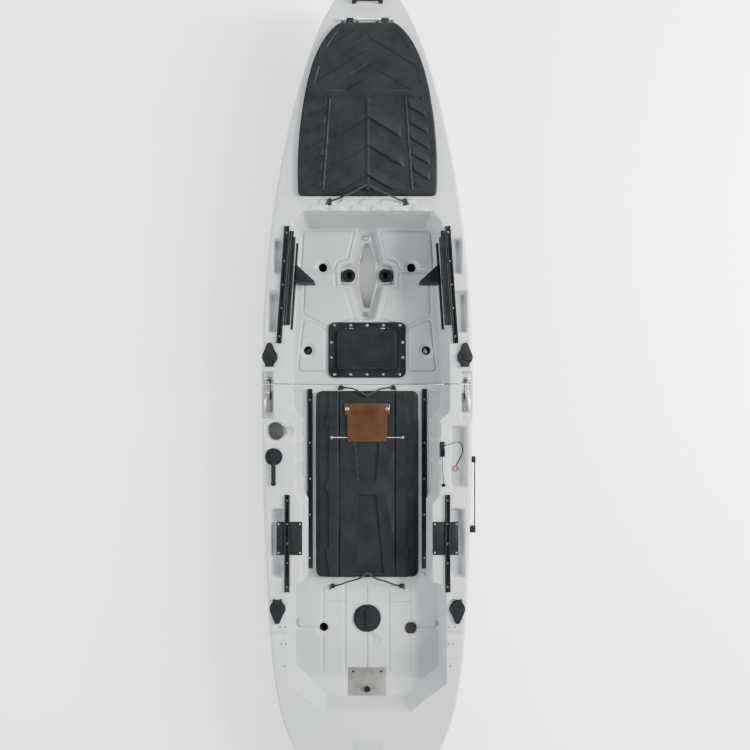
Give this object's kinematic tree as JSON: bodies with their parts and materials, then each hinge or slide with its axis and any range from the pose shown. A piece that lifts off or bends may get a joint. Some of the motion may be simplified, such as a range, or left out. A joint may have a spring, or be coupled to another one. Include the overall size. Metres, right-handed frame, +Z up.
{
  "type": "pedal kayak",
  "caption": "Sit-on-top pedal kayak in two latched modules, with open drive well, hatches, gear tracks, rod holders and a kick-up rudder.",
  "frame": {"origin": "middle of the overall length and beam, at keel level", "axes": "+Y to the bow, +X to starboard, +Z up"},
  "size_m": [0.896, 3.646, 0.4212],
  "materials": {
    "hull": "fine moulded texture",
    "black_plastic": "satin moulded",
    "black_metal": "black anodised",
    "rubber": "matt",
    "stainless": "brushed",
    "cord": "braided",
    "panel": "semi-gloss",
    "red_plastic": "gloss",
    "grey_plastic": "matt"
  },
  "bodies": {
    "root": {"bow_module": "hull", "stern_module": "hull", "seam_seal": "rubber", "module_pins": "stainless", "bow_hatch_seal": "rubber", "bow_hatch_pin": "stainless", "bow_bungee": "cord", "bungee_eyes": "black_plastic", "deck_hatch_frame": "black_plastic", "deck_hatch_seal": "rubber", "deck_hatch_pin": "stainless", "deck_hatch_screws": "stainless", "centre_hatch_seal": "rubber", "centre_front_bungee": "cord", "centre_rear_bungee": "cord", "foot_rails": "black_plastic", "front_gear_tracks": "black_metal", "rear_gear_tracks": "black_metal", "seat_tracks": "black_metal", "track_screws": "stainless", "rod_holders": "black_plastic", "rod_cap_pins": "stainless", "latch_bases": "stainless", "latch_keepers": "stainless", "steering_base": "black_plastic", "steering_cables": "stainless", "rudder_bracket": "black_plastic", "rudder_pin": "stainless", "well_liner": "stainless", "drive_clips": "stainless", "drive_sockets": "black_plastic", "round_hatch_ring": "black_plastic", "stern_plate": "stainless", "side_plates": "black_plastic", "carry_handles": "black_plastic", "lift_cord": "cord", "lift_ring": "red_plastic", "cord_cleat": "black_plastic"},
    "bow_lid": {"bow_hatch_lid": "black_plastic"},
    "deck_lid": {"deck_hatch_lid": "black_plastic"},
    "centre_lid": {"centre_hatch_lid": "black_plastic", "lid_panel": "panel", "lid_panel_screws": "stainless", "lid_panel_cord": "cord"},
    "foot_peg_left": {"foot_peg_left": "black_plastic"},
    "foot_peg_right": {"foot_peg_right": "black_plastic"},
    "rod_cap_front_left": {"rod_cap_front_left": "black_plastic"},
    "rod_cap_front_right": {"rod_cap_front_right": "black_plastic"},
    "rod_cap_rear_left": {"rod_cap_rear_left": "black_plastic"},
    "rod_cap_rear_right": {"rod_cap_rear_right": "black_plastic"},
    "latch_lever_left": {"latch_lever_left": "stainless"},
    "latch_loop_left": {"latch_loop_left": "black_metal"},
    "latch_lever_right": {"latch_lever_right": "stainless"},
    "latch_loop_right": {"latch_loop_right": "black_metal"},
    "steering_handle": {"steering_handle": "black_plastic"},
    "rudder_head": {"rudder_head": "black_plastic", "blade_pin": "stainless"},
    "rudder_blade": {"rudder_blade": "black_plastic"},
    "round_hatch_lid": {"round_hatch_lid": "black_plastic"},
    "scupper_plug": {"scupper_plug": "grey_plastic"}
  },
  "joints": [
    {"name": "bow_lid_hinge", "type": "hinge", "parent": "root", "child": "bow_lid", "pos_m": [0, 1.635, 0.40579], "axis": [-1, 0, 0], "range_deg": [0, 80], "deforming": ["bow_bungee"]},
    {"name": "deck_lid_hinge", "type": "hinge", "parent": "root", "child": "deck_lid", "pos_m": [0, 0.427, 0.1415], "axis": [-1, 0, 0], "range_deg": [0, 100]},
    {"name": "centre_lid_lift", "type": "slide", "parent": "root", "child": "centre_lid", "axis": [0, 0, 1], "range_m": [0, 0.12], "deforming": ["centre_front_bungee", "centre_rear_bungee"]},
    {"name": "foot_peg_slide_left", "type": "slide", "parent": "root", "child": "foot_peg_left", "axis": [0.0674, 0.9977, 0], "range_m": [-0.19, 0.09]},
    {"name": "foot_peg_slide_right", "type": "slide", "parent": "root", "child": "foot_peg_right", "axis": [-0.0674, 0.9977, 0], "range_m": [-0.19, 0.09]},
    {"name": "rod_cap_front_left_hinge", "type": "hinge", "parent": "root", "child": "rod_cap_front_left", "pos_m": [-0.4, 0.257, 0.34029], "axis": [1, 0, 0], "range_deg": [0, 150]},
    {"name": "rod_cap_front_right_hinge", "type": "hinge", "parent": "root", "child": "rod_cap_front_right", "pos_m": [0.4, 0.257, 0.34029], "axis": [1, 0, 0], "range_deg": [0, 150]},
    {"name": "rod_cap_rear_left_hinge", "type": "hinge", "parent": "root", "child": "rod_cap_rear_left", "pos_m": [-0.367, -0.699, 0.34937], "axis": [-1, 0, 0], "range_deg": [0, 150]},
    {"name": "rod_cap_rear_right_hinge", "type": "hinge", "parent": "root", "child": "rod_cap_rear_right", "pos_m": [0.367, -0.699, 0.34937], "axis": [-1, 0, 0], "range_deg": [0, 150]},
    {"name": "latch_lever_left_hinge", "type": "hinge", "parent": "root", "child": "latch_lever_left", "pos_m": [-0.412, 0.143, 0.31], "axis": [-1, 0, 0], "range_deg": [0, 110]},
    {"name": "latch_loop_left_hinge", "type": "hinge", "parent": "latch_lever_left", "child": "latch_loop_left", "pos_m": [-0.412, 0.121, 0.308], "axis": [-1, 0, 0], "range_deg": [-110, 0]},
    {"name": "latch_lever_right_hinge", "type": "hinge", "parent": "root", "child": "latch_lever_right", "pos_m": [0.412, 0.143, 0.31], "axis": [-1, 0, 0], "range_deg": [0, 110]},
    {"name": "latch_loop_right_hinge", "type": "hinge", "parent": "latch_lever_right", "child": "latch_loop_right", "pos_m": [0.412, 0.121, 0.308], "axis": [-1, 0, 0], "range_deg": [-110, 0]},
    {"name": "steering_turn", "type": "hinge", "parent": "root", "child": "steering_handle", "pos_m": [-0.383, -0.115, 0.34], "axis": [0, 0, 1], "range_deg": [-35, 35]},
    {"name": "rudder_steer", "type": "hinge", "parent": "root", "child": "rudder_head", "pos_m": [0, -1.503, 0.255], "axis": [0, 0, 1], "range_deg": [-35, 35]},
    {"name": "rudder_kick_up", "type": "hinge", "parent": "rudder_head", "child": "rudder_blade", "pos_m": [0, -1.543, 0.255], "axis": [1, 0, 0], "range_deg": [0, 90]},
    {"name": "round_hatch_turn", "type": "hinge", "parent": "root", "child": "round_hatch_lid", "pos_m": [0, -0.82, 0.2], "axis": [0, 0, 1], "range_deg": [0, 90]},
    {"name": "scupper_plug_pull", "type": "slide", "parent": "root", "child": "scupper_plug", "axis": [0, 0, 1], "range_m": [0, 0.06]}
  ],
  "couplings": [
    {"joint": "latch_loop_left_hinge", "follows": "latch_lever_left_hinge", "ratio": -1},
    {"joint": "latch_loop_right_hinge", "follows": "latch_lever_right_hinge", "ratio": -1},
    {"joint": "rudder_steer", "follows": "steering_turn", "ratio": -1}
  ]
}
